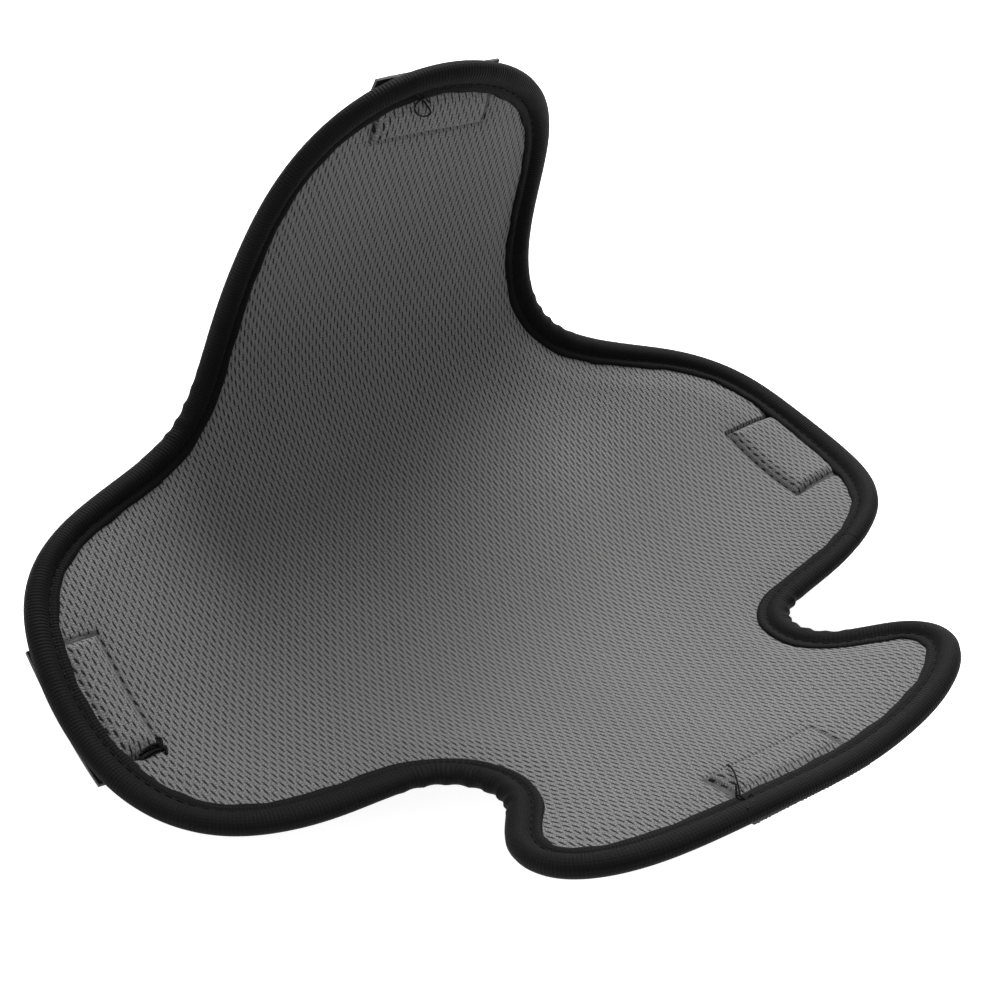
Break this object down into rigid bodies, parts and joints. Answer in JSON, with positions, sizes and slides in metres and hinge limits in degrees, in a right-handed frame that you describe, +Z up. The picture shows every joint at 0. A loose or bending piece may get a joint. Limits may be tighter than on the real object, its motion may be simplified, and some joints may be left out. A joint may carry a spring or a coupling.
{
  "type": "back protector pad",
  "caption": "Soft four-lobed back protector pad with a knitted mesh face, foam core, bound edge and hook strips on the back; tongue and fan flex.",
  "frame": {"origin": "middle of the bounding box's underside, which is the level the pad rests on", "axes": "+X across the pad, +Y towards the tongue, +Z up from the mesh face"},
  "size_m": [0.275, 0.206, 0.1288],
  "materials": {
    "mesh_fabric": "matte",
    "foam": "matte",
    "back_cloth": "matte",
    "binding_tape": "matte",
    "hook_tape": "matte",
    "thread": "matte"
  },
  "bodies": {
    "center": {"back_cloth_center": "back_cloth", "bar_tack_left": "thread", "binding_left": "binding_tape", "binding_right": "binding_tape", "binding_stitch_left": "thread", "binding_stitch_right": "thread", "foam_center": "foam", "hook_strip_left": "hook_tape", "hook_strip_right": "hook_tape", "mesh_face_center": "mesh_fabric", "strip_stitch_left": "thread", "strip_stitch_right": "thread"},
    "tongue": {"back_cloth_tongue": "back_cloth", "binding_stitch_tongue": "thread", "binding_tongue": "binding_tape", "foam_tongue": "foam", "hook_strip_top": "hook_tape", "mesh_face_tongue": "mesh_fabric", "strip_stitch_top": "thread", "thread_end_top": "thread"},
    "fan": {"back_cloth_fan": "back_cloth", "binding_fan": "binding_tape", "binding_stitch_fan": "thread", "foam_fan": "foam", "hook_strip_bottom": "hook_tape", "mesh_face_fan": "mesh_fabric", "strip_stitch_bottom": "thread", "thread_end_bottom": "thread"}
  },
  "joints": [
    {"name": "tongue_flex", "type": "hinge", "parent": "center", "child": "tongue", "pos_m": [0.00062, 0.0936, 0.03546], "axis": [1, 0, 0], "range_deg": [-55, 15], "stiffness_Nm_per_rad": 0.6},
    {"name": "fan_flex", "type": "hinge", "parent": "center", "child": "fan", "pos_m": [0.00062, -0.05434, 0.02763], "axis": [-1, 0, 0], "range_deg": [-35, 20], "stiffness_Nm_per_rad": 0.6}
  ]
}
